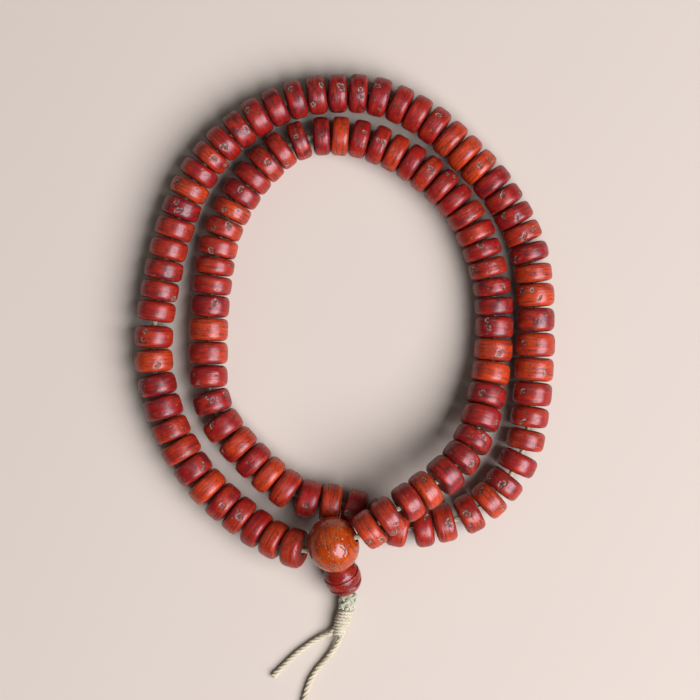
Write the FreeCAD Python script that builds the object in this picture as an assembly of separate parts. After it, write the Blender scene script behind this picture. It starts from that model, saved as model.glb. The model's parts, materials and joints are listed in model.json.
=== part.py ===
"""Mala: 108 seed beads on one waxed cord, lying in a double loop, closed by a guru bead.

Below the guru bead hang a small tower bead, a tied and whipped knot and the cord's two ends.
Millimetres. +Z is up from the surface it lies on, +Y is towards the far side of the loop.
The origin is on that surface, under the middle of the beads.
"""
import FreeCAD, Part
import math
import os
import random

V = FreeCAD.Vector

# Cord
CORD_D = 1.5
CORD_R = CORD_D / 2
PAIR_OFFSET = 0.82          # each of the two cord ends lies this far beside their shared line
ARC_SHARE = 0.45            # of the shorter run that an arc takes at each of its ends

# Counting beads
BEAD_R = 5.0
BEAD_R_SPREAD = 0.16        # the smallest beads are this much under BEAD_R
BEAD_T_SPREAD = 0.15        # thickness varies by this much either way
BEAD_BORE_R = 1.05
BEAD_FACE_DOME = 0.14       # the end faces fall away by this much at their edge
BEAD_FACE_SHARE = 0.70      # of the radius that the end faces reach out to
BEAD_CORNER = (0.88, 0.80)  # the rounded edge's middle, in shares of the radius and half thickness
BEAD_SHOULDER = (0.96, 0.50)  # and where it runs into the bulging wall
BEAD_CLEARANCE = 0.1        # least gap between two neighbours' end faces
FIRST_BEAD_GAP = 1.0        # bare cord between the guru bead's bend and the first bead
# How many beads in a row have which thickness, from the guru bead round the strand
BEAD_STRETCHES = (
    (5, 5.1), (4, 5.45), (4, 5.8), (6, 5.15), (3, 4.6), (5, 5.05), (10, 4.95), (6, 4.9), (5, 6.1),
    (6, 5.35), (4, 5.3), (4, 5.5), (2, 5.1), (7, 5.75), (8, 4.65), (17, 4.56), (5, 5.65), (2, 5.1),
    (1, 5.8), (2, 5.25), (1, 5.5), (1, 5.3),
)
# Bare cord shows after these beads, this much more than elsewhere
LOOSE_AFTER = {
    2: 0.1, 13: 0.8, 49: 0.4, 50: 0.3, 51: 0.4, 52: 0.05, 54: 0.7, 55: 0.1, 56: 0.1, 80: 0.1, 81: 0.6,
    104: 0.75, 107: 0.05,
}
# Single beads turn on nodes of their own; the rest are grouped in runs of this many
SINGLE_BEADS = 48
RUN_LENGTH = 15

# Guru bead: turned about the cord's line, with a second hole down to the pendant
GURU_CENTRE = V(-2.6, -46.35, 12.2)
GURU_TURN = 18.0            # degrees that its cord line turns from +X towards +Y
GURU_RISE = 19.0             # degrees that the line climbs
GURU_R = 6.85
GURU_HALF_LENGTH = 6.15
GURU_FLAT_R = 1.3
GURU_CAVITY_R = 2.3         # where its three holes meet
GURU_DOWN_BORE_R = 1.75
CORD_END_INSET = 2.5        # the strand's ends stop this far from the guru bead's centre
HOLE_BEND = 7.0             # and the cord first bends this far out, just outside its holes
LEG_START_INSET = 2.4       # and the legs to the pendant start here
LEG_LENGTH = 6.55
LEG_BEND_SHARE = 0.95       # each leg turns down at once, in nearly the whole of its short first run

# Tower bead
TOWER_CENTRE = V(-0.35, -55.1, 4.75)
TOWER_AXIS = V(0.304, -0.782, -0.545)
TOWER_R = 4.7
TOWER_HALF_LENGTH = 4.4
TOWER_BORE_R = 1.95
TOWER_TOP_R = 2.3
TOWER_TOP_BULGE = (0.86, 0.62)      # its upper wall's middle, in shares of radius and half length
TOWER_BOTTOM_BULGE = (0.78, 0.72)
TOWER_GROOVE = ((0.10, 1.00), (0.45, 1.35), (0.20, 1.70))   # depth, and place below the middle

# Knot: a braided collar against the tower bead, then a close whipping
KNOT_START = V(0.95, -58.6, 2.4)
KNOT_MIDDLE = V(0.45, -63.5, 2.4)
KNOT_END = V(-1.5, -70.3, 2.05)
COLLAR_R = 2.35
WHIPPING_R = 2.15
WHIPPING_END_R = 1.95
WHIPPING_TURNS = 8
COLLAR_RIDGES = 3
RIDGE_DEPTH = 0.12
KNOT_CLEARANCE = 0.05       # between a knot part and the cords in it
SEAT_CLEARANCE = 0.15       # between the collar and the tower bead that it is tied against

# The strand's route between the guru bead's two holes, at bead height unless it says otherwise
LEVEL = BEAD_R
STRAND = [
    V(-15.4, -46.9, 7.4), V(-23.0, -42.4, LEVEL),
    V(-35.2, -32.3, LEVEL), V(-43.5, -19.0, LEVEL), V(-47.8, -3.5, LEVEL),
    V(-47.5, 9.0, LEVEL), V(-44.0, 27.5, LEVEL), V(-38.0, 44.5, LEVEL),
    V(-26.5, 57.5, LEVEL), V(-11.0, 65.5, LEVEL), V(8.0, 66.0, LEVEL),
    V(22.5, 58.5, LEVEL), V(38.5, 42.5, LEVEL), V(47.0, 26.5, LEVEL),
    V(48.2, 8.0, LEVEL), V(47.0, -12.0, LEVEL), V(44.5, -26.5, LEVEL),
    V(33.5, -39.5, LEVEL), V(14.5, -44.3, LEVEL), V(1.5, -37.0, LEVEL),
    V(-11.0, -36.0, LEVEL), V(-21.0, -28.0, LEVEL), V(-33.8, -14.0, LEVEL),
    V(-34.0, 10.0, LEVEL), V(-31.3, 30.5, LEVEL), V(-23.5, 44.5, LEVEL),
    V(-12.0, 55.1, LEVEL), V(4.5, 55.2, LEVEL), V(19.7, 47.1, LEVEL),
    V(31.2, 35.6, LEVEL), V(37.6, 18.0, LEVEL), V(37.5, -2.0, LEVEL),
    V(33.0, -19.4, 8.6), V(27.6, -27.3, 11.3), V(20.1, -33.0, 13.5),
    V(12.6, -37.7, 15.5),
]

# The two cord ends, from the guru bead's lower hole through the tower bead and the knot
TAIL_LEFT = [
    V(-2.45, -51.7, 7.4), V(0.4, -59.2, 2.35), V(-0.3, -63.4, 2.35), V(-2.2, -69.3, 2.0),
    V(-6.0, -70.6, 0.9), V(-11.5, -74.4, 0.8), V(-14.8, -77.5, 0.8), V(-18.0, -80.8, 0.8),
]
TAIL_RIGHT = [
    V(-1.0, -51.1, 7.4), V(1.95, -58.6, 2.35), V(1.36, -63.6, 2.35), V(-0.75, -70.9, 1.9),
    V(-3.7, -75.5, 0.9), V(-8.2, -80.4, 0.8), V(-10.3, -87.0, 0.8), V(-11.2, -92.5, 0.8),
]


def rounded_path(points, share=ARC_SHARE):
    """Straight runs joined by tangent arcs, each as large as its two runs allow."""
    edges, radii = [], []
    start = points[0]
    for before, corner, after in zip(points, points[1:], points[2:]):
        run_in, run_out = corner - before, after - corner
        half_turn = run_in.getAngle(run_out) / 2
        reach = share * min(run_in.Length, run_out.Length)
        radius = reach / math.tan(half_turn)
        way_in, way_out = V(run_in).normalize(), V(run_out).normalize()
        inward = (way_out - way_in).normalize()
        arc_start = corner - way_in * reach
        arc_end = corner + way_out * reach
        arc_middle = corner + inward * (radius / math.cos(half_turn) - radius)
        edges.append(Part.LineSegment(start, arc_start).toShape())
        edges.append(Part.Arc(arc_start, arc_middle, arc_end).toShape())
        radii.append(round(radius, 1))
        start = arc_end
    edges.append(Part.LineSegment(start, points[-1]).toShape())
    return edges, radii


def path_length(edges):
    return sum(edge.Length for edge in edges)


def place_along(edges, distance):
    """The point and the direction of a path at a distance from its start."""
    for edge in edges:
        if distance <= edge.Length:
            break
        distance -= edge.Length
    at = edge.getParameterByLength(min(distance, edge.Length))
    return edge.valueAt(at), edge.tangentAt(at)


def tube(edges, radius):
    start, direction = place_along(edges, 0)
    ring = Part.Wire([Part.Circle(start, direction, radius).toShape()])
    return Part.Wire(edges).makePipeShell([ring], True, False)


def turned(outline):
    """A solid of revolution about Z from a closed outline in the XZ plane."""
    return Part.Face(Part.Wire(outline)).revolve(V(0, 0, 0), V(0, 0, 1), 360)


def line(start, end):
    return Part.LineSegment(start, end).toShape()


def arc(start, middle, end):
    return Part.Arc(start, middle, end).toShape()


def stand(solid, centre, axis):
    """Turn a solid made about Z onto an axis and move it to its centre."""
    placed = solid.copy()
    placed.Placement = FreeCAD.Placement(centre, FreeCAD.Rotation(V(0, 0, 1), axis))
    return placed


def rod(start, direction, length, radius):
    return Part.makeCylinder(radius, length, start, direction)


def counting_bead(radius, thickness):
    """A fat disc with a bulging wall, rounded edges, slightly domed faces and a bore."""
    half = thickness / 2
    mouth, mouth_below = V(BEAD_BORE_R, 0, half), V(BEAD_BORE_R, 0, -half)
    rim = V(BEAD_FACE_SHARE * radius, 0, half - BEAD_FACE_DOME)
    corner = V(BEAD_CORNER[0] * radius, 0, BEAD_CORNER[1] * half)
    shoulder = V(BEAD_SHOULDER[0] * radius, 0, BEAD_SHOULDER[1] * half)
    rim_below, corner_below, shoulder_below = (V(p.x, 0, -p.z) for p in (rim, corner, shoulder))
    return turned([
        line(mouth_below, mouth),
        line(mouth, rim),
        arc(rim, corner, shoulder),
        arc(shoulder, V(radius, 0, 0), shoulder_below),
        arc(shoulder_below, corner_below, rim_below),
        line(rim_below, mouth_below),
    ])


def bead_sizes():
    """The radius and thickness of each bead, uneven as hand-turned seeds are."""
    uneven = random.Random(108)
    sizes = []
    for count, thickness in BEAD_STRETCHES:
        for _ in range(count):
            radius = BEAD_R - BEAD_R_SPREAD * uneven.random()
            sizes.append((radius, thickness + BEAD_T_SPREAD * uneven.uniform(-1, 1)))
    return sizes


def gap_between(edges, distance, pitch):
    """The gap that keeps two neighbours' faces clear where the cord bends."""
    _, here = place_along(edges, distance)
    _, there = place_along(edges, distance + pitch)
    wedge = BEAD_FACE_SHARE * BEAD_R * math.tan(here.getAngle(there) / 2) - BEAD_FACE_DOME
    return BEAD_CLEARANCE + 2 * max(0.0, wedge)


def seat_on_cord(edges, distance, thickness):
    """A bead's centre and axis where the cord that it hangs on bends through its bore."""
    enter, _ = place_along(edges, distance - thickness / 2)
    middle, _ = place_along(edges, distance)
    leave, _ = place_along(edges, distance + thickness / 2)
    return (enter + leave + middle * 2) * 0.25, (leave - enter).normalize()


def thread_beads(edges, sizes, distance):
    """Each bead's centre and axis, one after the other along the cord."""
    places = []
    for number, (_, thickness) in enumerate(sizes, 1):
        distance += thickness / 2
        places.append(seat_on_cord(edges, distance, thickness))
        distance += thickness / 2 + gap_between(edges, distance, thickness)
        distance += LOOSE_AFTER.get(number, 0.0)
    return places, distance


# The guru bead's two lines: along the strand, and down to the pendant
turn, rise = math.radians(GURU_TURN), math.radians(GURU_RISE)
GURU_AXIS = V(math.cos(rise) * math.cos(turn), math.cos(rise) * math.sin(turn), math.sin(rise))
tower_top = TOWER_CENTRE - TOWER_AXIS * TOWER_HALF_LENGTH
GURU_DOWN = (tower_top - GURU_CENTRE).normalize()


def stringing_path():
    left_end, left_bend = (GURU_CENTRE - GURU_AXIS * d for d in (CORD_END_INSET, HOLE_BEND))
    right_end, right_bend = (GURU_CENTRE + GURU_AXIS * d for d in (CORD_END_INSET, HOLE_BEND))
    return rounded_path([left_end, left_bend] + STRAND + [right_bend, right_end])


def guru_bead():
    flat_end, flat_start = V(GURU_FLAT_R, 0, GURU_HALF_LENGTH), V(GURU_FLAT_R, 0, -GURU_HALF_LENGTH)
    body = turned([
        line(V(0, 0, -GURU_HALF_LENGTH), V(0, 0, GURU_HALF_LENGTH)),
        line(V(0, 0, GURU_HALF_LENGTH), flat_end),
        arc(flat_end, V(GURU_R, 0, 0), flat_start),
        line(flat_start, V(0, 0, -GURU_HALF_LENGTH)),
    ])
    bead = stand(body, GURU_CENTRE, GURU_AXIS)
    side_start = GURU_CENTRE - GURU_AXIS * GURU_R
    side_bore = rod(side_start, GURU_AXIS, 2 * GURU_R, BEAD_BORE_R)
    down_bore = rod(GURU_CENTRE, GURU_DOWN, 2 * GURU_R, GURU_DOWN_BORE_R)
    cavity = Part.makeSphere(GURU_CAVITY_R, GURU_CENTRE)
    return bead.cut(cavity.fuse([side_bore, down_bore]))


def guru_legs():
    """The cord's two ends where they turn down inside the guru bead."""
    legs = []
    for side in (-1, 1):
        start = GURU_CENTRE + GURU_AXIS * (side * LEG_START_INSET)
        corner = GURU_CENTRE + GURU_AXIS * (side * PAIR_OFFSET)
        edges, _ = rounded_path([start, corner, corner + GURU_DOWN * LEG_LENGTH], LEG_BEND_SHARE)
        legs.append(tube(edges, CORD_R))
    return Part.makeCompound(legs)


def tower_solid(grow=0.0):
    """The tower bead's outer form, grown evenly for the seat that it presses into the knot."""
    top, radius, bottom = TOWER_HALF_LENGTH + grow, TOWER_R + grow, -TOWER_HALF_LENGTH - grow
    top_bulge = V(TOWER_TOP_BULGE[0] * radius, 0, TOWER_TOP_BULGE[1] * top)
    bottom_bulge = V(TOWER_BOTTOM_BULGE[0] * radius, 0, TOWER_BOTTOM_BULGE[1] * bottom)
    groove = [V(radius - depth, 0, -below) for depth, below in TOWER_GROOVE]
    return turned([
        line(V(0, 0, bottom), V(0, 0, top)),
        line(V(0, 0, top), V(TOWER_TOP_R, 0, top)),
        arc(V(TOWER_TOP_R, 0, top), top_bulge, V(radius, 0, 0)),
        line(V(radius, 0, 0), groove[0]),
        arc(*groove),
        arc(groove[-1], bottom_bulge, V(TOWER_TOP_R, 0, bottom)),
        line(V(TOWER_TOP_R, 0, bottom), V(0, 0, bottom)),
    ])


def tower_bead():
    bore = Part.makeCylinder(TOWER_BORE_R, 4 * TOWER_HALF_LENGTH, V(0, 0, -2 * TOWER_HALF_LENGTH))
    return stand(tower_solid().cut(bore), TOWER_CENTRE, TOWER_AXIS * -1)


def knot_part(start, end, outline_points):
    """A ridged barrel about the line from start to end."""
    length = (end - start).Length
    edges = [line(V(0, 0, length), V(0, 0, 0)), line(V(0, 0, 0), outline_points[0])]
    for first, crest, last in zip(outline_points[::2], outline_points[1::2], outline_points[2::2]):
        edges.append(arc(first, crest, last))
    edges.append(line(outline_points[-1], V(0, 0, length)))
    return stand(turned(edges), start, end - start)


def ridges(count, length, radius_start, radius_end, depth):
    """Valley and crest points of a row of ridges that narrows evenly."""
    points = []
    for step in range(2 * count + 1):
        along = step / (2 * count)
        radius = radius_start + (radius_end - radius_start) * along
        points.append(V(radius if step % 2 else radius - depth, 0, along * length))
    return points


def knot_parts(left_edges, right_edges):
    """The knot's collar and whipping, with room for the cords and for the tower bead's end."""
    cord_room = CORD_R + KNOT_CLEARANCE
    cords = tube(left_edges, cord_room).fuse(tube(right_edges, cord_room))
    seat = stand(tower_solid(SEAT_CLEARANCE), TOWER_CENTRE, TOWER_AXIS * -1)
    collar_length = (KNOT_MIDDLE - KNOT_START).Length
    plaits = ridges(COLLAR_RIDGES, collar_length, COLLAR_R, COLLAR_R, RIDGE_DEPTH)
    collar = knot_part(KNOT_START, KNOT_MIDDLE, plaits)
    whipping_start = KNOT_MIDDLE + (KNOT_END - KNOT_MIDDLE).normalize() * KNOT_CLEARANCE
    whipping_length = (KNOT_END - whipping_start).Length
    rows = ridges(WHIPPING_TURNS, whipping_length, WHIPPING_R, WHIPPING_END_R, RIDGE_DEPTH)
    whipping = knot_part(whipping_start, KNOT_END, rows)
    room_length = collar_length + KNOT_CLEARANCE
    collar_room = rod(KNOT_START, KNOT_MIDDLE - KNOT_START, room_length, 2 * COLLAR_R)
    return collar.cut(seat).cut(cords), whipping.cut(cords).cut(collar_room)


def save(shape, name):
    shape.exportStep(f"parts/{name}.step")


strand_edges, strand_radii = stringing_path()
bead_list = bead_sizes()
first_bead = HOLE_BEND - CORD_END_INSET + FIRST_BEAD_GAP
bead_places, strand_used = thread_beads(strand_edges, bead_list, first_bead)
left_edges, left_radii = rounded_path(TAIL_LEFT)
right_edges, right_radii = rounded_path(TAIL_RIGHT)


def main():
    os.makedirs("parts", exist_ok=True)
    cord_area = math.pi * CORD_R ** 2
    for name, edges, radii in (
        ("stringing_cord", strand_edges, strand_radii),
        ("tail_cord_left", left_edges, left_radii),
        ("tail_cord_right", right_edges, right_radii),
    ):
        solid = tube(edges, CORD_R)
        save(solid, name)
        length = path_length(edges)
        print(f"{name}: {length:.1f} long, volume / (section x length) = "
              f"{solid.Volume / (cord_area * length):.4f}, bend radii {radii}")
    print(f"cord left over after the last bead: {path_length(strand_edges) - strand_used:.2f}")

    beads = []
    for (radius, thickness), (centre, axis) in zip(bead_list, bead_places):
        beads.append(stand(counting_bead(radius, thickness), centre, axis))
    for number, bead in enumerate(beads[:SINGLE_BEADS], 1):
        save(bead, f"bead_{number:03d}")
    for first in range(SINGLE_BEADS, len(beads), RUN_LENGTH):
        run = beads[first:first + RUN_LENGTH]
        save(Part.makeCompound(run), f"beads_{first + 1:03d}_to_{first + len(run):03d}")

    save(guru_bead(), "guru_bead")
    save(guru_legs(), "guru_cord_legs")
    save(tower_bead(), "tower_bead")
    collar, whipping = knot_parts(left_edges, right_edges)
    save(collar, "knot_collar")
    save(whipping, "knot_whipping")


main()
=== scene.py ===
import itertools
import json
import math

import bpy
import numpy as np
from mathutils import Matrix, Vector

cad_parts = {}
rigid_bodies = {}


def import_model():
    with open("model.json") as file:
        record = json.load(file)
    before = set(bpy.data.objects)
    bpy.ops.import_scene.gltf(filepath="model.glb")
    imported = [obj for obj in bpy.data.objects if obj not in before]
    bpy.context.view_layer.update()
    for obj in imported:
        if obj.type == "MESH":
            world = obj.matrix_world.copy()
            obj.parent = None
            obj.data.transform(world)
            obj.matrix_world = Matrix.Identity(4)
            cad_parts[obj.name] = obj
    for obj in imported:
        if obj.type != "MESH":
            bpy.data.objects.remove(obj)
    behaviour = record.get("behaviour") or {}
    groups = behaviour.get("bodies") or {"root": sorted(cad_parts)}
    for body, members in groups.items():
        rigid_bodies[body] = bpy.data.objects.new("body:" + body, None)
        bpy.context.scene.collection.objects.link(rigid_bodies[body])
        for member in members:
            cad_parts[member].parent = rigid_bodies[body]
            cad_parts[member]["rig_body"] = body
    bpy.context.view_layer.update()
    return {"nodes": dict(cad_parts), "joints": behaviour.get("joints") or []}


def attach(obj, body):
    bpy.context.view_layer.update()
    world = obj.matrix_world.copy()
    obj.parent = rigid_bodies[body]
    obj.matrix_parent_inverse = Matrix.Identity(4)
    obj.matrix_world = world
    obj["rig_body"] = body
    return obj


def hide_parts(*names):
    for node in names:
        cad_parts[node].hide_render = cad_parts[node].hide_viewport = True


# The looks of the mala: turned seed beads with their grain, pits and scars, and a twisted waxed
# cord with its braided and whipped knot. Metres and radians, in the frame of the CAD model.
# Shapes are worked out in millimetres and written to the meshes in metres.
MM = 0.001
UP = Vector((0, 0, 1))

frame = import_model()
JOINTS = {joint["name"]: joint for joint in frame["joints"]}

# Camera and room
VIEW_CENTRE = (0.0015, 0.0016)
VIEW_WIDTH = 0.175                 # seen across the picture at the beads' middle height
VIEW_DISTANCE = 0.5
BEAD_LEVEL = 0.005
SENSOR = 36.0
FLOOR_SIZE = 3.0
FLOOR_ROUGHNESS = 0.9
FLOOR_SPECULAR = 0.12
FLOOR_COLOUR = (0.52, 0.46, 0.375)
KEY_TOWARDS = Vector((0.56, -0.33, 0.76))   # from the beads to the window-like key light
KEY_DISTANCE = 1.30
KEY_SIZE = (1.25, 1.05)
KEY_POWER = 42.0
KEY_COLOUR = (0.90, 0.885, 1.0)
FILL_TOWARDS = Vector((-0.6, 0.55, 0.9))
FILL_DISTANCE = 0.9
FILL_SIZE = (0.9, 0.9)
FILL_POWER = 0.6
FILL_COLOUR = (1, 0.97, 0.93)
SKY_COLOUR = (0.90, 0.93, 1.0)
SKY_STRENGTH = 0.06

# Cord
CORD_R = 0.75                      # millimetres, as all sizes below
PAIR_OFFSET = 0.82
CORD_STRANDS = 3
CORD_LAY = 4.4                     # length of one turn of its twist
TAIL_LEFT = [
    (-2.45, -51.7, 7.4), (0.4, -59.2, 2.35), (-0.3, -63.4, 2.35), (-2.2, -69.3, 2.0),
    (-6.0, -70.6, 0.9), (-11.5, -74.4, 0.8), (-14.8, -77.5, 0.8), (-18.0, -80.8, 0.8),
]
TAIL_RIGHT = [
    (-1.0, -51.1, 7.4), (1.95, -58.6, 2.35), (1.36, -63.6, 2.35), (-0.75, -70.9, 1.9),
    (-3.7, -75.5, 0.9), (-8.2, -80.4, 0.8), (-10.3, -87.0, 0.8), (-11.2, -92.5, 0.8),
]
KNOT_TOP, KNOT_END = 1, 3          # the tails' points between which the knot binds them

# Knot: its plait's grey-green dye fades towards the whipping
DYE_LIGHT, DYE_SHADE = (0.42, 0.46, 0.33), (0.20, 0.24, 0.16)
COLLAR_STRANDS = 5                 # each way round
COLLAR_STRAND_R = 0.50
COLLAR_TURNS = 0.42
COLLAR_WEAVE = 0.16                # how far a strand rises over and dips under the others
WRAP_R = 0.43
WRAP_TURNS = 8
CORE_AROUND = 24

# Beads
BEAD_AROUND, BEAD_WALL_ROWS = 144, 46
GURU_AROUND, GURU_WALL_ROWS = 260, 130
TOWER_AROUND, TOWER_WALL_ROWS = 190, 130
BORE_ROWS = 4
MOUTH_ROUND = 0.22                 # the bore's rounded mouth
BEAD_BORE_R = 1.05
GURU_HALF_LENGTH = 6.15
GURU_FLAT_R = 1.3                  # of its flat round the cord's holes
GURU_DOWN_BORE_R = 1.9
TOWER_HALF_LENGTH = 4.4
TOWER_BORE_R = 1.95
# Beads whose colour stands out: more orange, or more purple-brown and mottled
ORANGE_BEADS = (2, 6, 12, 20, 35, 36, 37, 43, 44, 46, 47, 53, 60, 63, 70, 76, 83, 98, 99, 105, 108)
PURPLE_BEADS = (
    7, 10, 11, 16, 19, 24, 26, 27, 28, 29, 30, 31, 38, 42, 45, 67, 71, 81, 82, 95, 96, 97, 100,
    102, 103, 104,
)


# ---------------------------------------------------------------- camera, floor and light

def aim(thing, target):
    thing.rotation_mode = "QUATERNION"
    thing.rotation_quaternion = (target - thing.location).to_track_quat("-Z", "Y")


def link(thing):
    bpy.context.scene.collection.objects.link(thing)
    return thing


def add_camera():
    camera = link(bpy.data.objects.new("camera", bpy.data.cameras.new("camera")))
    camera.location = (*VIEW_CENTRE, BEAD_LEVEL + VIEW_DISTANCE)
    camera.data.sensor_width = SENSOR
    camera.data.lens = SENSOR * VIEW_DISTANCE / VIEW_WIDTH
    camera.data.clip_start = 0.01
    bpy.context.scene.camera = camera


def add_area_light(name, towards, distance, size, power, colour):
    light = bpy.data.lights.new(name, "AREA")
    light.shape = "RECTANGLE"
    light.size, light.size_y = size
    light.energy = power
    light.color = colour
    lamp = link(bpy.data.objects.new(name, light))
    lamp.location = towards.normalized() * distance
    aim(lamp, Vector((0, 0, BEAD_LEVEL)))


def add_room():
    add_area_light("key", KEY_TOWARDS, KEY_DISTANCE, KEY_SIZE, KEY_POWER, KEY_COLOUR)
    add_area_light("fill", FILL_TOWARDS, FILL_DISTANCE, FILL_SIZE, FILL_POWER, FILL_COLOUR)
    world = bpy.data.worlds.new("sky")
    world.use_nodes = True
    sky = world.node_tree.nodes["Background"]
    sky.inputs["Color"].default_value = (*SKY_COLOUR, 1)
    sky.inputs["Strength"].default_value = SKY_STRENGTH
    bpy.context.scene.world = world
    bpy.context.scene.view_settings.view_transform = "Standard"
    half = FLOOR_SIZE / 2
    mesh = bpy.data.meshes.new("floor")
    corners = [(-half, -half, 0), (half, -half, 0), (half, half, 0), (-half, half, 0)]
    mesh.from_pydata(corners, [], [(0, 1, 2, 3)])
    floor = link(bpy.data.objects.new("floor", mesh))
    paint = Paint("floor")
    paint.set("Base Color", (*FLOOR_COLOUR, 1))
    paint.set("Roughness", FLOOR_ROUGHNESS)
    paint.set("Specular IOR Level", FLOOR_SPECULAR)
    floor.data.materials.append(paint.material)


# ---------------------------------------------------------------- materials

class Paint:
    """A Principled material, and short calls that add the nodes it is made with."""

    def __init__(self, name):
        self.material = bpy.data.materials.new(name)
        self.material.use_nodes = True
        self.tree = self.material.node_tree
        self.shader = self.tree.nodes["Principled BSDF"]

    def set(self, socket, value):
        """A constant goes on the shader's own socket, and an output is linked to it."""
        if isinstance(value, bpy.types.NodeSocket):
            self.tree.links.new(value, self.shader.inputs[socket])
        else:
            self.shader.inputs[socket].default_value = value

    def node(self, kind, inputs=(), **settings):
        made = self.tree.nodes.new(kind)
        for name, value in settings.items():
            setattr(made, name, value)
        for key, value in dict(inputs).items():
            if isinstance(value, bpy.types.NodeSocket):
                self.tree.links.new(value, made.inputs[key])
            else:
                made.inputs[key].default_value = value
        return made

    def field(self, name):
        """A number stored on the mesh."""
        return self.node("ShaderNodeAttribute", attribute_name=name).outputs["Fac"]

    def place(self, stretch=(1, 1, 1)):
        """The millimetre coordinates stored on the mesh, stretched."""
        stored = self.node("ShaderNodeAttribute", attribute_name="place").outputs["Vector"]
        inputs = {0: stored, 1: stretch}
        return self.node("ShaderNodeVectorMath", inputs, operation="MULTIPLY").outputs["Vector"]

    def noise(self, scale, stretch=(1, 1, 1), detail=2.0, distortion=0.0):
        inputs = {"Vector": self.place(stretch), "Scale": scale, "Detail": detail, "Distortion": distortion}
        return self.node("ShaderNodeTexNoise", inputs).outputs["Fac"]

    def step(self, value, low, high, start=0.0, end=1.0):
        """Goes smoothly from start to end as value goes from low to high."""
        inputs = {"Value": value, "From Min": low, "From Max": high, "To Min": start, "To Max": end}
        return self.node("ShaderNodeMapRange", inputs, interpolation_type="SMOOTHSTEP").outputs["Result"]

    def math(self, operation, first, second=0.0):
        return self.node("ShaderNodeMath", {0: first, 1: second}, operation=operation).outputs["Value"]

    def mix(self, share, first, second, blend="MIX"):
        inputs = {"Factor": share}
        made = self.node("ShaderNodeMix", inputs, data_type="RGBA", blend_type=blend)
        for socket, value in ((6, first), (7, second)):
            if isinstance(value, bpy.types.NodeSocket):
                self.tree.links.new(value, made.inputs[socket])
            else:
                made.inputs[socket].default_value = (*value, 1)
        return made.outputs[2]

    def bump(self, height, distance, strength=1.0):
        inputs = {"Height": height, "Distance": distance, "Strength": strength}
        self.set("Normal", self.node("ShaderNodeBump", inputs).outputs["Normal"])


def seed_paint(name, deep, warm, stain, fleck, gloss, fleck_amount=0.0):
    """Polished seed: a warm and a deep red, purple-brown stains, fine streaks, flecks and scars."""
    paint = Paint(name)
    drift = paint.noise(0.22, detail=3.0)
    warmth = paint.math("ADD", paint.field("warmth"), paint.step(drift, 0.3, 0.7, -0.25, 0.25))
    colour = paint.mix(paint.step(warmth, 0.0, 1.0), deep, warm)

    blotch = paint.step(paint.noise(0.42, (1, 1, 1.6), detail=5.0, distortion=0.6), 0.42, 0.66)
    colour = paint.mix(paint.math("MULTIPLY", blotch, paint.field("stain")), colour, stain)

    streak = paint.noise(1.0, (0.16, 0.16, 3.4), detail=4.0)
    colour = paint.mix(paint.step(streak, 0.30, 0.56, 0.82, 0.0), colour, stain)
    hair = paint.noise(1.0, (0.3, 0.3, 5.0), detail=3.0)
    colour = paint.mix(paint.step(hair, 0.58, 0.72, 0.0, 0.60), colour, warm)
    colour = paint.mix(paint.step(hair, 0.28, 0.41, 0.80, 0.0), colour, stain)

    dash = paint.noise(1.0, (1.1, 1.1, 3.4), detail=2.0, distortion=0.4)
    low = 0.635 - fleck_amount
    colour = paint.mix(paint.step(dash, low, low + 0.05, 0.0, 0.85), colour, fleck)
    speck = paint.noise(1.55, detail=1.5)
    colour = paint.mix(paint.step(speck, low, low + 0.045, 0.0, 0.9), colour, fleck)

    # Scars: a dark rim, a pale bark ring broken by noise, and a dark middle
    grit = paint.noise(2.2, detail=4.0)
    scar = paint.math("ADD", paint.field("scar"), paint.step(grit, 0.3, 0.7, -0.12, 0.12))
    inside = paint.step(paint.field("scar"), 0.02, 0.10)
    bark = paint.mix(paint.step(grit, 0.42, 0.60), (0.07, 0.035, 0.026), (0.33, 0.245, 0.18))
    bark = paint.mix(paint.step(scar, 0.44, 0.54), bark, paint.mix(0.45, colour, (0.05, 0.03, 0.022)))
    bark = paint.mix(paint.step(scar, 0.18, 0.27), (0.035, 0.014, 0.011), bark)
    edge = paint.step(scar, 0.06, 0.14)
    colour = paint.mix(paint.math("MULTIPLY", edge, inside), colour, bark)
    pit = paint.math("ADD", paint.field("pit"), paint.step(grit, 0.3, 0.7, -0.2, 0.2))
    in_pit = paint.step(paint.field("pit"), 0.02, 0.12)
    pit = paint.math("MULTIPLY", paint.step(pit, 0.25, 0.5), in_pit)
    colour = paint.mix(pit, colour, paint.mix(grit, fleck, (0.16, 0.12, 0.08)))
    colour = paint.mix(paint.field("worn"), colour, (0.11, 0.035, 0.022))
    paint.set("Base Color", colour)

    rough = paint.step(paint.noise(1.1, (1, 1, 3), detail=4.0), 0.3, 0.7, gloss - 0.05, gloss + 0.09)
    dull = paint.math("MAXIMUM", paint.math("MULTIPLY", edge, inside), pit)
    dull = paint.math("MAXIMUM", dull, paint.field("worn"))
    paint.set("Roughness", paint.math("ADD", rough, paint.math("MULTIPLY", dull, 0.38)))
    paint.set("Specular IOR Level", 0.50)
    paint.set("Coat Weight", 0.06)
    paint.set("Coat Roughness", 0.20)
    relief = paint.step(hair, 0.3, 0.7, 0.0, 0.55)
    relief = paint.math("ADD", relief, paint.step(dash, low, low + 0.06, 0.9, 0.0))
    relief = paint.math("ADD", relief, paint.step(grit, 0.3, 0.7, 0.0, 0.25))
    paint.bump(relief, 0.022 * MM, 0.8)
    return paint.material


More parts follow.
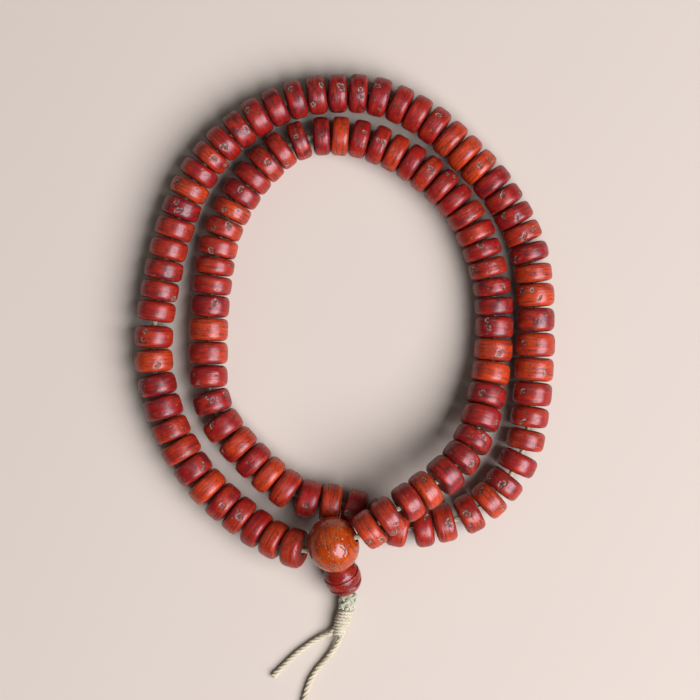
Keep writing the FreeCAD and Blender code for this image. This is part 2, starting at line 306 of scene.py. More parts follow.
def cord_paint(name, light, shade, stain):
    """Waxed, twisted cotton: pale fibres along each ply, painted shade in the valleys between the plies,
    and some handling stain.
    """
    paint = Paint(name)
    light = paint.mix(paint.field("dye"), light, DYE_LIGHT)
    valley_shade_colour = tuple(0.45 * c for c in shade)
    shade = paint.mix(paint.field("dye"), shade, DYE_SHADE)
    fibre = paint.noise(1.0, (3.2, 16.0, 1.0), detail=3.0)
    colour = paint.mix(paint.step(fibre, 0.25, 0.75), shade, light)
    # Painted shade: the valleys between the plies, where the field ply is low, are mixed towards a dark
    # colour.
    valley = paint.step(paint.field("ply"), 0.0, 0.55, 0.75, 0.0)
    colour = paint.mix(valley, colour, valley_shade_colour)
    grime = paint.step(paint.noise(0.35, detail=4.0), 0.52, 0.75, 0.0, 0.7)
    colour = paint.mix(grime, colour, stain)
    paint.set("Base Color", colour)
    paint.set("Roughness", paint.step(fibre, 0.2, 0.8, 0.60, 0.80))
    paint.set("Sheen Weight", 0.25)
    paint.set("Sheen Roughness", 0.5)
    paint.bump(fibre, 0.05 * MM, 0.9)
    return paint.material


# ---------------------------------------------------------------- noise and meshes

def lattice(cell, seed):
    """A repeatable number from 0 to 1 for each whole-numbered cell."""
    x, y, z = (cell[..., k].astype(np.int64) for k in range(3))
    mixed = (x * 374761393 + y * 668265263 + z * 1440662683 + seed * 974634777) & 0xFFFFFFFF
    mixed = ((mixed ^ (mixed >> 13)) * 1274126177) & 0xFFFFFFFF
    return ((mixed ^ (mixed >> 16)) & 0xFFFF) / 0xFFFF


def noise(points, seed):
    """Smooth noise from -1 to 1, about one hump per unit."""
    base = np.floor(points)
    part = points - base
    part = part * part * (3 - 2 * part)
    total = np.zeros(points.shape[:-1])
    for corner in itertools.product((0, 1), repeat=3):
        weight = np.prod(np.where(np.array(corner), part, 1 - part), axis=-1)
        total += weight * lattice(base + np.array(corner), seed)
    return total * 2 - 1


def smooth(value, low, high):
    part = np.clip((value - low) / (high - low), 0, 1)
    return part * part * (3 - 2 * part)


def grid_mesh(name, points, fields, close_rows, paint):
    """A mesh of quads over rows of points; each row closes on itself, and the rows may too.
    points are in millimetres; the fields are stored for the materials."""
    rows, around = points.shape[:2]
    count = rows if close_rows else rows - 1
    row = np.arange(count)[:, None]
    column = np.arange(around)[None, :]
    next_row, next_column = (row + 1) % rows, (column + 1) % around
    corners = (
        row * around + column, row * around + next_column,
        next_row * around + next_column, next_row * around + column,
    )
    quads = np.stack(np.broadcast_arrays(*corners), axis=-1).reshape(-1, 4)
    mesh = bpy.data.meshes.new(name)
    mesh.vertices.add(rows * around)
    mesh.vertices.foreach_set("co", (points * MM).astype(np.float32).ravel())
    mesh.loops.add(quads.size)
    mesh.loops.foreach_set("vertex_index", quads.astype(np.int32).ravel())
    mesh.polygons.add(len(quads))
    mesh.polygons.foreach_set("loop_start", np.arange(0, quads.size, 4, dtype=np.int32))
    mesh.polygons.foreach_set("use_smooth", np.ones(len(quads), bool))
    mesh.update(calc_edges=True)
    for key, value in fields.items():
        kind, slot = ("FLOAT_VECTOR", "vector") if value.ndim == 3 else ("FLOAT", "value")
        made = mesh.attributes.new(key, kind, "POINT")
        made.data.foreach_set(slot, value.astype(np.float32).ravel())
    mesh.validate()
    mesh.materials.append(paint)
    return mesh


def fill_ends(mesh, rows, around):
    """Closes the two open ends of a tube with a face each."""
    ends = [list(range(around))[::-1], list(range((rows - 1) * around, rows * around))]
    for end in ends:
        start = len(mesh.loops)
        mesh.loops.add(around)
        for k, vertex in enumerate(end):
            mesh.loops[start + k].vertex_index = vertex
        mesh.polygons.add(1)
        mesh.polygons[-1].loop_start = start
    mesh.update(calc_edges=True)
    mesh.validate()


def piece(name, mesh, body, replaced=()):
    made = link(bpy.data.objects.new(name, mesh))
    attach(made, body)
    if replaced:
        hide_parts(*replaced)
    return made


# ---------------------------------------------------------------- beads

def islands(node):
    """Each solid of a CAD node as the millimetre points of its triangles."""
    mesh = frame["nodes"][node].data
    count = len(mesh.vertices)
    places = np.empty(count * 3)
    mesh.vertices.foreach_get("co", places)
    places = places.reshape(-1, 3) / MM
    # Vertices at one place belong together, though each face may have its own
    _, same = np.unique(places.round(4), axis=0, return_inverse=True)
    same = same.ravel()
    mesh.calc_loop_triangles()
    triangles = np.empty(len(mesh.loop_triangles) * 3, np.int32)
    mesh.loop_triangles.foreach_get("vertices", triangles)
    triangles = triangles.reshape(-1, 3)
    joined = same[triangles]
    label = np.arange(same.max() + 1)
    while True:
        lowest = label[joined].min(axis=1)
        before = label.copy()
        for k in range(3):
            np.minimum.at(label, joined[:, k], lowest)
        label = label[label]
        if (label == before).all():
            break
    owner = label[joined[:, 0]]
    return [places[triangles[owner == which]] for which in np.unique(owner)]


def centre_and_axis(triangles):
    """The middle of a turned solid, and the line that it was turned about, from its skin."""
    middles = triangles.mean(axis=1)
    sides = np.cross(triangles[:, 1] - triangles[:, 0], triangles[:, 2] - triangles[:, 0])
    areas = np.linalg.norm(sides, axis=1)[:, None]
    centre = (middles * areas).sum(axis=0) / areas.sum()
    spread = (middles - centre).T @ ((middles - centre) * areas)
    return Vector(centre), Vector(np.linalg.eigh(spread)[1][:, 0])


def bead_facts(triangles):
    """A bead's centre, axis, radius and half thickness, all from its CAD solid."""
    centre, axis = centre_and_axis(triangles)
    away = triangles.reshape(-1, 3) - np.array(centre)
    along = away @ np.array(axis)
    out = np.linalg.norm(away - along[:, None] * np.array(axis), axis=1)
    return {"centre": centre, "axis": axis, "radius": out.max(), "half": np.abs(along).max()}


def all_beads():
    """Every counting bead in order along the cord, with its body and its CAD node."""
    found = []
    for node in sorted(n for n in frame["nodes"] if n.startswith("bead")):
        body = frame["nodes"][node]["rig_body"]
        left = [bead_facts(solid) for solid in islands(node)]
        while left:
            last = found[-1]["centre"] if found else left[0]["centre"]
            nearest = min(left, key=lambda bead: (bead["centre"] - last).length)
            left = [bead for bead in left if bead is not nearest]
            nearest.update(body=body, node=node)
            found.append(nearest)
    for bead, after in zip(found, found[1:]):
        if bead["axis"].dot(after["centre"] - bead["centre"]) < 0:
            bead["axis"] = -bead["axis"]
    return found


def turning_frame(centre, axis):
    """A frame whose Z is the axis and whose X points as far up as it can."""
    up = (UP - axis * UP.dot(axis)).normalized()
    side = axis.cross(up)
    return Matrix.Translation(centre * MM) @ Matrix((up, side, axis)).transposed().to_4x4()


def even_rows(points, rows):
    """Points at even spacing along an outline."""
    run = np.concatenate([[0], np.cumsum(np.linalg.norm(np.diff(points, axis=0), axis=1))])
    at = np.linspace(0, run[-1], rows)
    return np.stack([np.interp(at, run, points[:, k]) for k in range(2)], axis=1)


def closed_outline(wall, bore):
    """Joins an outer wall, listed from its top face to its bottom face, to its bore."""
    turn = np.linspace(0, math.pi / 2, 4)[1:]
    top, bottom = wall[0, 1], wall[-1, 1]
    inset, drop = MOUTH_ROUND * (1 - np.sin(turn)), MOUTH_ROUND * (1 - np.cos(turn))
    mouth = np.stack([bore + inset, top - drop], axis=1)
    through = np.linspace(top - MOUTH_ROUND, bottom + MOUTH_ROUND, BORE_ROWS + 2)[1:-1]
    through = np.stack([np.full(BORE_ROWS, bore), through], axis=1)
    mouth_below = np.stack([mouth[::-1, 0], bottom + drop[::-1]], axis=1)
    return np.concatenate([wall, mouth_below[::-1], through[::-1], mouth])


def fat_disc(radius, half, bore, flat, barrel, rows):
    """A rondelle's wall and faces: the faces are flatter as flat rises, and the wall as barrel does."""
    turn = np.linspace(0.0, math.pi, 1200)
    out = radius * np.sin(turn) ** (2 / flat)
    along = half * np.sign(np.cos(turn)) * np.abs(np.cos(turn)) ** (2 / barrel)
    wall = np.stack([out, along], axis=1)
    return even_rows(wall[out > bore + MOUTH_ROUND], rows)


class Turned:
    """A turned seed as a grid of points: its outline, then its wear, pits and scars."""

    def __init__(self, outline, wall_rows, around, seed):
        self.seed = seed
        self.chance = np.random.default_rng(seed)
        self.wall_rows = wall_rows
        self.angle = np.linspace(0, 2 * math.pi, around, endpoint=False)[None, :]
        self.out, self.along = outline[:, 0][:, None], outline[:, 1][:, None]
        step = np.roll(outline, -1, axis=0) - np.roll(outline, 1, axis=0)
        step /= np.linalg.norm(step, axis=1)[:, None]
        self.normal = np.stack([-step[:, 1], step[:, 0]], axis=1)   # outwards, in the outline's plane
        self.outside = np.zeros((len(outline), 1))
        self.outside[1:wall_rows - 1] = 1
        self.push = np.zeros((len(outline), around))
        self.place = self.points()
        self.scar = np.zeros_like(self.push)
        self.pit = np.zeros_like(self.push)
        self.worn = np.zeros_like(self.push)

    def points(self):
        out = self.out + self.push * self.normal[:, 0][:, None]
        along = self.along + self.push * self.normal[:, 1][:, None]
        across, over = out * np.cos(self.angle), out * np.sin(self.angle)
        return np.stack([across, over, along + 0 * self.angle], axis=-1)

    def unevenness(self, broad, fine):
        """Broad hand-made humps, fine tool marks that run round, and a little grain."""
        shift = self.seed * 7.3
        self.push += broad * (noise(self.place * 0.30 + shift, self.seed) - 1.0) - fine
        self.push += fine * noise(self.place * np.array((0.35, 0.35, 4.5)) + shift, self.seed + 1)
        self.push += 0.4 * fine * noise(self.place * 2.4 + shift, self.seed + 2)

    def raw_faces(self, at, depth):
        """The cut end faces are rough and dull beyond this distance from the middle."""
        face = smooth(np.abs(self.along), at, at + 0.2) * smooth(0.86 * self.out.max() - self.out, 0, 0.5)
        face = face * (0.7 + 0.3 * noise(self.place * 1.4, self.seed + 7))
        self.push -= depth * face * (0.5 + 0.5 * noise(self.place * 2.2 + 3.0, self.seed + 9))
        self.worn = np.maximum(self.worn, 0.62 * face)

    def nicks(self, at, reach, depth):
        """Small chips along an edge that lies at this distance from the middle."""
        near = smooth(reach - np.abs(np.abs(self.along) - at), 0, reach)
        near = near * (self.out > 0.6 * self.out.max())
        chip = smooth(noise(self.place * 0.9 + 31.0, self.seed + 3), 0.42, 0.75)
        self.push -= depth * near * chip
        self.worn = np.maximum(self.worn, 0.75 * near * smooth(chip, 0.3, 0.8))

    def offset_from(self, turn, along):
        """Millimetres round and along the wall from a spot on it."""
        round_by = (self.angle - turn + math.pi) % (2 * math.pi) - math.pi
        return round_by * self.out, self.along - along

    def add_scar(self, turn, along, long, wide, depth, ring, lean=0.0):
        """A bark scar: a crater, or with ring a moat round a standing middle."""
        round_by, along_by = self.offset_from(turn, along)
        down = (along_by * math.cos(lean) - round_by * math.sin(lean)) / wide
        over = (along_by * math.sin(lean) + round_by * math.cos(lean)) / long
        ragged = 1 + 0.34 * noise(self.place * 1.3 + 11.0, self.seed + 4)
        ragged += 0.16 * noise(self.place * 3.6 + 11.0, self.seed + 8)
        field = np.clip(1 - np.hypot(over, down) * ragged, 0, 1) * self.outside
        hollow = smooth(field, 0.0, 0.35)
        if ring:
            hollow = hollow * (1 - 0.8 * smooth(field, 0.45, 0.75))
        self.push -= depth * hollow * (1 + 0.5 * noise(self.place * 3.1, self.seed + 5))
        self.scar = np.maximum(self.scar, field)

    def add_pit(self, turn, along, size, depth):
        round_by, along_by = self.offset_from(turn, along)
        field = np.clip(1 - np.hypot(round_by / (1.6 * size), along_by / size), 0, 1) * self.outside
        self.push -= depth * smooth(field, 0, 0.7)
        self.pit = np.maximum(self.pit, field)

    def add_stroke(self, line, width, depth):
        """A crack or groove on the upper side, along points given as millimetres along and across it."""
        across = np.where(np.cos(self.angle) > 0, self.out * np.sin(self.angle), 99.0)
        nearest = np.full_like(self.push, 99.0)
        for (x0, y0), (x1, y1) in zip(line, line[1:] or line):
            dx, dy = x1 - x0, y1 - y0
            share = ((self.along - x0) * dx + (across - y0) * dy) / max(dx * dx + dy * dy, 1e-9)
            share = np.clip(share, 0, 1)
            nearest = np.minimum(nearest, np.hypot(self.along - x0 - share * dx, across - y0 - share * dy))
        ragged = 1 + 0.25 * noise(self.place * 3.0, self.seed + 6)
        field = np.clip(1 - nearest * ragged / width, 0, 1) * self.outside
        self.push -= depth * smooth(field, 0, 0.8)
        self.pit = np.maximum(self.pit, field)

    def sink(self, towards, radius, edge, depth):
        """A round hole in the wall: the points inside it go down, with a rounded edge."""
        points = self.points()
        along_hole = points @ np.array(towards)
        off = np.linalg.norm(points - along_hole[..., None] * np.array(towards), axis=-1)
        self.hole = np.where(along_hole > 0, 1 - smooth(off, radius - edge, radius + edge), 0) * depth
        self.hole_towards = np.array(towards)

    def mesh(self, name, paint, warmth, stain):
        points = self.points()
        if hasattr(self, "hole"):
            points = points - self.hole[..., None] * self.hole_towards
        everywhere = np.ones_like(self.push)
        fields = {
            "place": self.place + self.seed * 3.7, "scar": self.scar, "pit": self.pit, "worn": self.worn,
            "warmth": warmth * everywhere, "stain": stain * everywhere,
        }
        return grid_mesh(name, points[::-1], {k: v[::-1] for k, v in fields.items()}, True, paint)


def bead_colour(number, chance):
    """How orange and how stained a bead is."""
    if number in ORANGE_BEADS:
        return chance.uniform(0.62, 0.95), chance.uniform(0.05, 0.35)
    if number in PURPLE_BEADS:
        return chance.uniform(0.05, 0.30), chance.uniform(0.70, 1.0)
    return chance.uniform(0.15, 0.55), chance.uniform(0.15, 0.6)


def counting_bead(number, bead, paint):
    seed = 100 + number
    chance = np.random.default_rng(seed)
    flat, barrel = chance.uniform(5.5, 7.5), chance.uniform(3.0, 4.2)
    wall = fat_disc(bead["radius"], bead["half"], BEAD_BORE_R, flat, barrel, BEAD_WALL_ROWS)
    turned = Turned(closed_outline(wall, BEAD_BORE_R), BEAD_WALL_ROWS, BEAD_AROUND, seed)
    turned.unevenness(0.05, 0.018)
    turned.raw_faces(0.90 * bead["half"], 0.08)
    turned.nicks(0.86 * bead["half"], 0.45, 0.14)
    for _ in range(chance.integers(0, 4)):
        turn, along = chance.normal(0, 1.1), chance.uniform(-0.6, 0.6) * bead["half"]
        long, wide = chance.uniform(0.65, 1.25), chance.uniform(0.4, 0.75)
        lean, ring = chance.uniform(0, math.pi), chance.random() < 0.6
        turned.add_scar(turn, along, long, wide, chance.uniform(0.08, 0.18), ring, lean)
        if chance.random() < 0.45:
            turn += math.sin(lean) * 0.9 * wide / bead["radius"]
            along += math.cos(lean) * 0.9 * wide
            turned.add_scar(turn, along, 0.8 * long, wide, 0.10, True, lean)
    for _ in range(chance.integers(5, 14)):
        turn, along = chance.uniform(-math.pi, math.pi), chance.uniform(-0.75, 0.75) * bead["half"]
        turned.add_pit(turn, along, chance.uniform(0.16, 0.34), chance.uniform(0.04, 0.10))
    name = f"bead_{number:03d}_seed"
    mesh = turned.mesh(name, paint, *bead_colour(number, chance))
    mesh.transform(turning_frame(bead["centre"], bead["axis"]))
    piece(name, mesh, bead["body"], [bead["node"]])


# The guru bead's marks, as millimetres to the right of and below its middle, seen from above
GURU_PIT_LINE = (
    (-1.8, -5.5), (-1.95, -4.65), (-1.9, -3.95), (-1.95, -3.4), (-1.75, -1.7), (-1.8, -0.85),
    (-1.7, 0.1),
)
GURU_DOTS = (
    (3.15, -2.8), (2.1, -1.8), (1.25, -4.5), (-3.3, -0.65), (-4.5, 0.1), (-3.9, 0.35), (-3.2, 2.8),
    (-0.9, 1.2),
)
GURU_CRACKS = (
    ((0.25, -3.3), (0.05, -2.65), (0.55, -2.2), (1.05, -2.15)),
    ((1.8, -0.3), (2.95, 0.9), (3.1, 1.6), (2.75, 2.3)), ((3.6, -0.3), (2.95, 0.9)),
    ((-0.7, 1.9), (-1.0, 2.4)),
    ((-1.5, 4.9), (-1.0, 5.2)), ((-0.5, 4.6), (0.1, 4.5)), ((0.6, 4.5), (1.0, 4.9), (1.5, 5.2)),
    ((1.65, 3.8), (1.6, 4.6)), ((0.4, 5.7), (0.6, 6.1)), ((-0.4, 5.0), (-0.2, 5.6)),
    ((0.1, 4.9), (0.7, 5.3)), ((-1.1, 5.6), (-0.6, 5.9)), ((1.0, 5.6), (1.3, 5.8)),
)
GURU_ARCS = (
    ((-1.3, -5.2), (0.0, -5.35), (1.5, -5.2), (2.8, -4.7)), ((-0.2, -4.75), (0.8, -4.75)),
    ((-4.3, 3.4), (-3.3, 4.4), (-2.3, 5.0)), ((-3.6, 4.4), (-2.4, 5.3)),
)


def guru_bead(paint):
    joint = JOINTS["guru_roll"]
    centre = Vector(joint["pos_m"]) / MM
    axis = -Vector(joint["axis"]).normalized()
    radius = bead_facts(islands("guru_bead")[0])["radius"]
    flat, height = GURU_FLAT_R, GURU_HALF_LENGTH
    swell = radius - flat
    # The wall is one arc from flat to flat through the greatest radius
    arc_r = (swell ** 2 + height ** 2) / (2 * swell)
    half_turn = math.asin(height / arc_r)
    turn = np.linspace(half_turn, -half_turn, 900)
    wall = np.stack([flat + swell - arc_r + arc_r * np.cos(turn), arc_r * np.sin(turn)], axis=1)
    wall = even_rows(wall, GURU_WALL_ROWS)
    turned = Turned(closed_outline(wall, BEAD_BORE_R), GURU_WALL_ROWS, GURU_AROUND, 7)
    turned.unevenness(0.09, 0.012)
    world = turning_frame(centre, axis)
    to_local = world.to_3x3().inverted()

    def seen(line):
        """The marks' places along and across the bead, from how they look from above."""
        heights = [math.sqrt(max(radius ** 2 - x * x - y * y, 0.1)) for x, y in line]
        spots = [to_local @ Vector((x, -y, z)) for (x, y), z in zip(line, heights)]
        return [(spot.z, spot.y) for spot in spots]

    for x, y in GURU_PIT_LINE:
        turned.add_stroke(seen(((x, y), (x + 0.05, y + 0.25))), 0.22, 0.14)
    for x, y in GURU_DOTS:
        turned.add_stroke(seen(((x, y), (x + 0.12, y + 0.1))), 0.24, 0.14)
    for line in GURU_CRACKS:
        turned.add_stroke(seen(line), 0.18, 0.13)
    for line in GURU_ARCS:
        turned.add_stroke(seen(line), 0.13, 0.05)
    chance = turned.chance
    for _ in range(46):
        spot = chance.uniform(0.35, 2 * math.pi - 0.35), chance.uniform(-0.8, 0.8) * height
        turned.add_pit(*spot, chance.uniform(0.12, 0.30), chance.uniform(0.05, 0.14))
    for _ in range(7):
        spot = chance.uniform(1.3, 2 * math.pi - 1.3), chance.uniform(-0.6, 0.6) * height
        long, wide = chance.uniform(0.6, 1.3), chance.uniform(0.5, 0.9)
        turned.add_scar(*spot, long, wide, 0.2, chance.random() < 0.5)
    down = to_local @ guru_down()
    turned.sink(down, GURU_DOWN_BORE_R, 0.25, 2.6)
    mesh = turned.mesh("guru_bead_seed", paint, 0.6, 0.15)
    mesh.transform(world)
    piece("guru_bead_seed", mesh, "guru", ["guru_bead"])


def guru_down():
    """From the guru bead's middle to the top of the tower bead."""
    tower = JOINTS["tower_bead_spin"]
    top = Vector(tower["pos_m"]) - Vector(tower["axis"]).normalized() * TOWER_HALF_LENGTH * MM
    return (top - Vector(JOINTS["guru_roll"]["pos_m"])).normalized()


TOWER_WALL = (
    (2.25, 4.36), (2.9, 3.98), (3.68, 3.20), (4.28, 2.30), (4.40, 1.98), (4.38, 1.86), (4.18, 1.74),
    (4.14, 1.58), (4.30, 1.44), (4.52, 1.38), (4.60, 1.20), (4.68, 0.60), (4.70, 0.0), (4.66, -0.75),
    (4.58, -1.02), (4.32, -1.20), (4.22, -1.36), (4.34, -1.55), (4.50, -1.72), (4.42, -2.10),
    (4.02, -2.90), (3.55, -3.50), (2.95, -4.10), (2.22, -4.40),
)


def tower_bead(paint):
    joint = JOINTS["tower_bead_spin"]
    wall = even_rows(soft_line(np.array(TOWER_WALL), 2), TOWER_WALL_ROWS)
    turned = Turned(closed_outline(wall, TOWER_BORE_R), TOWER_WALL_ROWS, TOWER_AROUND, 9)
    turned.unevenness(0.06, 0.014)
    chance = turned.chance
    for _ in range(26):
        spot = chance.uniform(-math.pi, math.pi), chance.uniform(-0.9, 0.6) * TOWER_HALF_LENGTH
        turned.add_pit(*spot, chance.uniform(0.12, 0.28), chance.uniform(0.04, 0.10))
    turned.add_scar(2.4, 1.2, 0.9, 0.6, 0.16, True)
    mesh = turned.mesh("tower_bead_seed", paint, 0.35, 0.45)
    mesh.transform(turning_frame(Vector(joint["pos_m"]) / MM, -Vector(joint["axis"]).normalized()))
    piece("tower_bead_seed", mesh, "tower", ["tower_bead"])


def soft_line(points, rounds):
    """Cuts an outline's corners a few times, so that it reads as turned and polished."""
    for _ in range(rounds):
        near = points[:-1] * 0.75 + points[1:] * 0.25
        far = points[:-1] * 0.25 + points[1:] * 0.75
        inner = np.stack([near, far], axis=1).reshape(-1, points.shape[1])
        points = np.concatenate([points[:1], inner, points[-1:]])
    return points


# ---------------------------------------------------------------- cords

def spline_points(name, route):
    """Points along a smooth NURBS line whose control points are the route's."""
    curve = bpy.data.curves.new(name, "CURVE")
    curve.dimensions = "3D"
    curve.resolution_u = 12
    spline = curve.splines.new("NURBS")
    spline.points.add(len(route) - 1)
    for point, place in zip(spline.points, route):
        point.co = (*place, 1)
    spline.order_u = 3
    spline.use_endpoint_u = True
    holder = link(bpy.data.objects.new(name, curve))
    bpy.context.view_layer.update()
    line = bpy.data.meshes.new_from_object(holder)
    points = np.array([v.co for v in line.vertices])
    bpy.data.objects.remove(holder)
    bpy.data.meshes.remove(line)
    bpy.data.curves.remove(curve)
    return points


def even_line(points, step):
    """The same line with points at an even step, and the distance of each from its start."""
    run = np.concatenate([[0], np.cumsum(np.linalg.norm(np.diff(points, axis=0), axis=1))])
    at = np.linspace(0, run[-1], max(3, int(run[-1] / step) + 1))
    return np.stack([np.interp(at, run, points[:, k]) for k in range(3)], axis=1), at


def carried_frames(line):
    """Two directions across the line at each point, carried along it without twist."""
    way = np.gradient(line, axis=0)
    way /= np.linalg.norm(way, axis=1)[:, None]
    across = np.empty_like(way)
    start = np.cross(way[0], (0.3, 0.2, 1.0))
    across[0] = start / np.linalg.norm(start)
    for k in range(1, len(way)):
        carried = across[k - 1] - way[k] * (across[k - 1] @ way[k])
        across[k] = carried / np.linalg.norm(carried)
    return across, np.cross(way, across)


def rope_mesh(name, points, radius, paint, strands=CORD_STRANDS, lay=CORD_LAY, around=24, step=0.22,
              seed=1, fray=0.0, dye=(0.0, 0.0)):
    """A laid cord along a line in millimetres: round strands that wind about each other.
    fray opens its last stretch, and dye is how dyed it is at its start and at its end."""
    line, run = even_line(points, step)
    across, over = carried_frames(line)
    angle = np.linspace(0, 2 * math.pi, around, endpoint=False)[None, :]
    twist = 2 * math.pi * run[:, None] / lay
    within = (angle - twist + 40 * math.pi) % (2 * math.pi / strands) - math.pi / strands
    offset, strand_r = 0.50, 0.50      # of a strand's middle and its size, in shares of the radius
    half_chord = np.sqrt(np.maximum(strand_r ** 2 - (offset * np.sin(within)) ** 2, 0.01))
    shape = 0.264 + 0.70 * (offset * np.cos(within) + half_chord)
    along = run[:, None] + 0 * angle
    spread = radius + 0 * along
    place = np.stack([np.cos(angle) * spread, np.sin(angle) * spread, along], axis=-1)
    shape = shape * (1 + 0.05 * noise(place * (0.9, 0.9, 0.6) + 5.0 * seed, seed))
    shape = shape * (1 + 0.035 * noise(place * 3.5 + 5.0 * seed, seed + 1))
    end = np.minimum(run, run[-1] - run)[:, None]
    shape = shape * (1 - 0.35 * (1 - smooth(end, 0, 0.45)))
    if fray:
        opened = smooth(run[-1] - run[:, None], 2.2, 0.0)
        shape = shape * (1 + fray * opened * (0.6 + 0.6 * np.cos(within * strands)))
    points = line[:, None, :] + radius * shape[..., None] * (
        np.cos(angle)[..., None] * across[:, None, :] + np.sin(angle)[..., None] * over[:, None, :])
    # The material's fibres follow the twist
    turned = np.stack([within * strands + 9.0 * seed, along * 0.25 + within, along], axis=-1)
    faded = dye[0] + (dye[1] - dye[0]) * along / run[-1]
    # ply is low in the grooves between the strands, where the cord materials paint shade.
    fields = {"place": turned * (0.5, 1.0, 0.8), "ply": smooth(shape, 0.62, 0.98), "dye": faded}
    mesh = grid_mesh(name, points, fields, False, paint)
    fill_ends(mesh, len(line), around)
    return mesh


def strand_route(beads):
    """The stringing cord's line through every bore, from one side of the guru bead to the other."""
    joint = JOINTS["guru_roll"]
    centre, axis = Vector(joint["pos_m"]) / MM, -Vector(joint["axis"]).normalized()
    route = [centre - axis * 2.6, centre - axis * 6.4]
    for bead in beads:
        reach = bead["axis"] * 0.55 * bead["half"]
        route += [bead["centre"] - reach, bead["centre"] + reach]
    return route + [centre + axis * 6.4, centre + axis * 2.6]


def add_strand_cord(beads, paint):
    points = spline_points("strand_line", strand_route(beads))
    mesh = rope_mesh("strand_cord", points, CORD_R, paint, around=18, step=0.35)
    piece("strand_cord", mesh, "strand", ["stringing_cord"])


def add_guru_legs(paint):
    joint = JOINTS["guru_roll"]
    centre, axis = Vector(joint["pos_m"]) / MM, -Vector(joint["axis"]).normalized()
    down = guru_down()
    for side, label in ((-1, "left"), (1, "right")):
        turn = centre + axis * side * PAIR_OFFSET
        route = [centre + axis * side * 2.4, turn + axis * side * 0.2, turn + down * 1.2, turn + down * 6.5]
        name = f"guru_leg_{label}"
        mesh = rope_mesh(name, spline_points("leg_line", route), CORD_R, paint, seed=3 + side)
        piece(name, mesh, "guru", ["guru_cord_legs"])


def add_tail(name, route, paint, seed):
    points = spline_points(name + "_line", route)
    mesh = rope_mesh(name, points, CORD_R, paint, around=30, step=0.10, seed=seed, fray=0.25)
    made = piece(name, mesh, "pendant", [name.replace("_rope", "")])
    return made


# ---------------------------------------------------------------- knot

def knot_line():
    """The knot's line, midway between its two cords: its top, its waist and its lower end."""
    pairs = list(zip(TAIL_LEFT, TAIL_RIGHT))[KNOT_TOP:KNOT_END + 1]
    return [Vector(a).lerp(Vector(b), 0.5) for a, b in pairs]


def winding(line, turns, hand, phase, radius_at, sway=0.0, wave=None):
    """Points of a thread wound about a line; radius_at gives its distance from the line."""
    middle, run = even_line(np.array(line), 0.05)
    across, over = carried_frames(middle)
    share = run / run[-1]
    turn = hand * 2 * math.pi * turns * share + phase
    radius = radius_at(share) + (wave(share) if wave else 0)
    points = middle + radius[:, None] * (np.cos(turn)[:, None] * across + np.sin(turn)[:, None] * over)
    way = np.gradient(middle, axis=0)
    way /= np.linalg.norm(way, axis=1)[:, None]
    return points + way * (sway * np.cos(turn - 1.2))[:, None]


def joined(name, meshes):
    """Several meshes as one, with their stored fields."""
    parts = [link(bpy.data.objects.new(f"{name}_{k}", mesh)) for k, mesh in enumerate(meshes)]
    chosen = {"active_object": parts[0], "selected_editable_objects": parts, "selected_objects": parts}
    with bpy.context.temp_override(**chosen):
        bpy.ops.object.join()
    mesh = parts[0].data
    bpy.data.objects.remove(parts[0])
    mesh.name = name
    return mesh


def core_mesh(name, line, radius_at, paint):
    """The threads' filling: a barrel painted dark, which stands for the shade between them."""
    middle, run = even_line(np.array(line), 0.2)
    across, over = carried_frames(middle)
    angle = np.linspace(0, 2 * math.pi, CORE_AROUND, endpoint=False)[None, :, None]
    radius = radius_at(run / run[-1])[:, None, None]
    points = middle[:, None] + radius * (np.cos(angle) * across[:, None] + np.sin(angle) * over[:, None])
    # Painted shade: a low ply value darkens the core in the cord materials.
    shadow = np.full(points.shape[:2], 0.3)
    mesh = grid_mesh(name, points, {"place": points, "ply": shadow, "dye": shadow}, False, paint)
    fill_ends(mesh, len(middle), CORE_AROUND)
    return mesh


def add_collar(paint):
    top, waist, _ = knot_line()
    way = (waist - top).normalized()
    start, end = top + way * 0.55, waist + way * 0.1
    line = np.linspace(start, end, 8)

    def barrel(share):
        return 1.84 + 0.08 * np.sin(math.pi * share) - 0.26 * share

    threads = []
    for hand in (-1, 1):
        for k in range(COLLAR_STRANDS):
            phase = 2 * math.pi * (k + 0.25 * (hand < 0)) / COLLAR_STRANDS

            def weave(share, hand=hand):
                """Over one opposite strand and under the next."""
                crossings = 2 * math.pi * COLLAR_STRANDS * COLLAR_TURNS * share
                return hand * COLLAR_WEAVE * np.cos(crossings - 0.25 * math.pi)

            points = winding(line, COLLAR_TURNS, hand, phase, barrel, wave=weave)
            threads.append(rope_mesh(f"plait_{hand}_{k}", points, COLLAR_STRAND_R, paint, lay=7.0,
                                     around=18, step=0.10, seed=20 + k, dye=(1.0, 0.0)))
    threads.append(core_mesh("collar_core", line, lambda s: barrel(s) - 0.04, paint))
    mesh = joined("knot_collar_plait", threads)
    piece("knot_collar_plait", mesh, "pendant", ["knot_collar"])


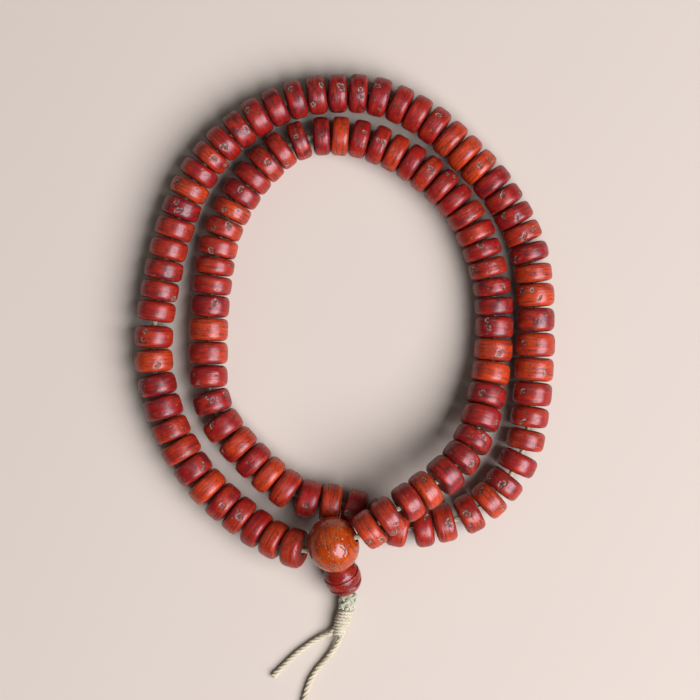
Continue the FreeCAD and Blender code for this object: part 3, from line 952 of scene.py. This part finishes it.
def add_whipping(paint):
    _, waist, end = knot_line()
    way = (end - waist).normalized()
    line = np.linspace(waist + way * 0.35, end - way * 0.15, 8)

    def barrel(share):
        return 1.50 + 0.16 * np.sin(math.pi * np.minimum(1.3 * share, 1)) - 0.42 * smooth(share, 0.55, 1.0)

    points = winding(line, WRAP_TURNS, 1, 0.6, barrel, sway=0.30)
    wraps = rope_mesh("wraps", points, WRAP_R, paint, lay=3.2, around=18, step=0.12, seed=31)
    core = core_mesh("whipping_core", line, lambda s: barrel(s) + 0.06, paint)
    mesh = joined("knot_whipping_wraps", [wraps, core])
    piece("knot_whipping_wraps", mesh, "pendant", ["knot_whipping"])


# ---------------------------------------------------------------- making

add_camera()
cord_material = cord_paint("waxed_cord", (0.66, 0.59, 0.40), (0.42, 0.36, 0.22), (0.30, 0.25, 0.16))
add_tail("tail_cord_left_rope", TAIL_LEFT, cord_material, 11)
add_tail("tail_cord_right_rope", TAIL_RIGHT, cord_material, 12)
add_room()

bead_paint = seed_paint("bead_seed", (0.285, 0.003, 0.0025), (0.48, 0.040, 0.003), (0.075, 0.006, 0.008),
                        (0.048, 0.022, 0.018), 0.33)
guru_paint = seed_paint("guru_seed", (0.27, 0.014, 0.002), (0.44, 0.070, 0.002), (0.17, 0.008, 0.003),
                        (0.070, 0.042, 0.028), 0.13, fleck_amount=-0.03)
tower_paint = seed_paint("tower_seed", (0.24, 0.003, 0.003), (0.35, 0.030, 0.004), (0.065, 0.008, 0.006),
                         (0.040, 0.020, 0.012), 0.22)
bead_list = all_beads()
for number, bead in enumerate(bead_list, 1):
    counting_bead(number, bead, bead_paint)
guru_bead(guru_paint)
tower_bead(tower_paint)
add_strand_cord(bead_list, cord_material)
add_guru_legs(cord_material)
add_collar(cord_paint("collar_thread", (0.62, 0.58, 0.40), (0.38, 0.36, 0.23), (0.26, 0.27, 0.17)))
add_whipping(cord_paint("whipping_thread", (0.70, 0.64, 0.45), (0.42, 0.37, 0.23), (0.32, 0.28, 0.18)))
